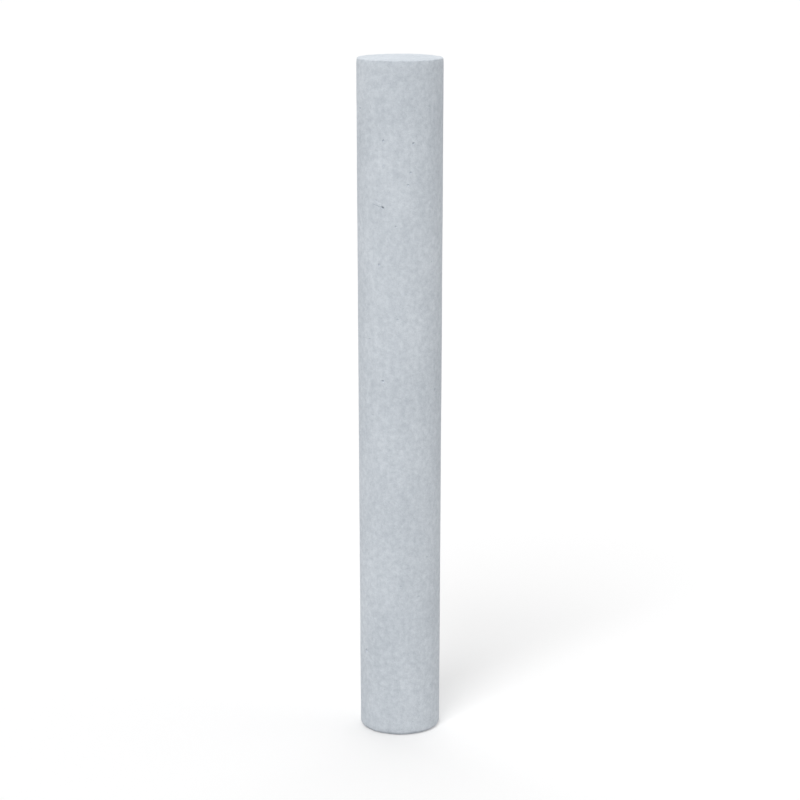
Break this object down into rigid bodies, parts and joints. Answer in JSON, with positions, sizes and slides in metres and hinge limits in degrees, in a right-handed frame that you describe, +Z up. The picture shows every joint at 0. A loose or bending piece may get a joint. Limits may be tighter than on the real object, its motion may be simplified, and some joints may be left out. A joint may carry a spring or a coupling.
{
  "type": "chalk stick",
  "caption": "Round stick of white moulded blackboard chalk with a slight taper, flat ends and softly broken edges.",
  "frame": {"origin": "centre of the flat narrow end, on which the stick stands", "axes": "+Z up the stick's axis from its narrow end to its wide end, -Y towards the front"},
  "size_m": [0.01, 0.01, 0.08],
  "materials": {
    "chalk": "matte"
  },
  "bodies": {
    "root": {"chalk_stick": "chalk"}
  },
  "joints": []
}
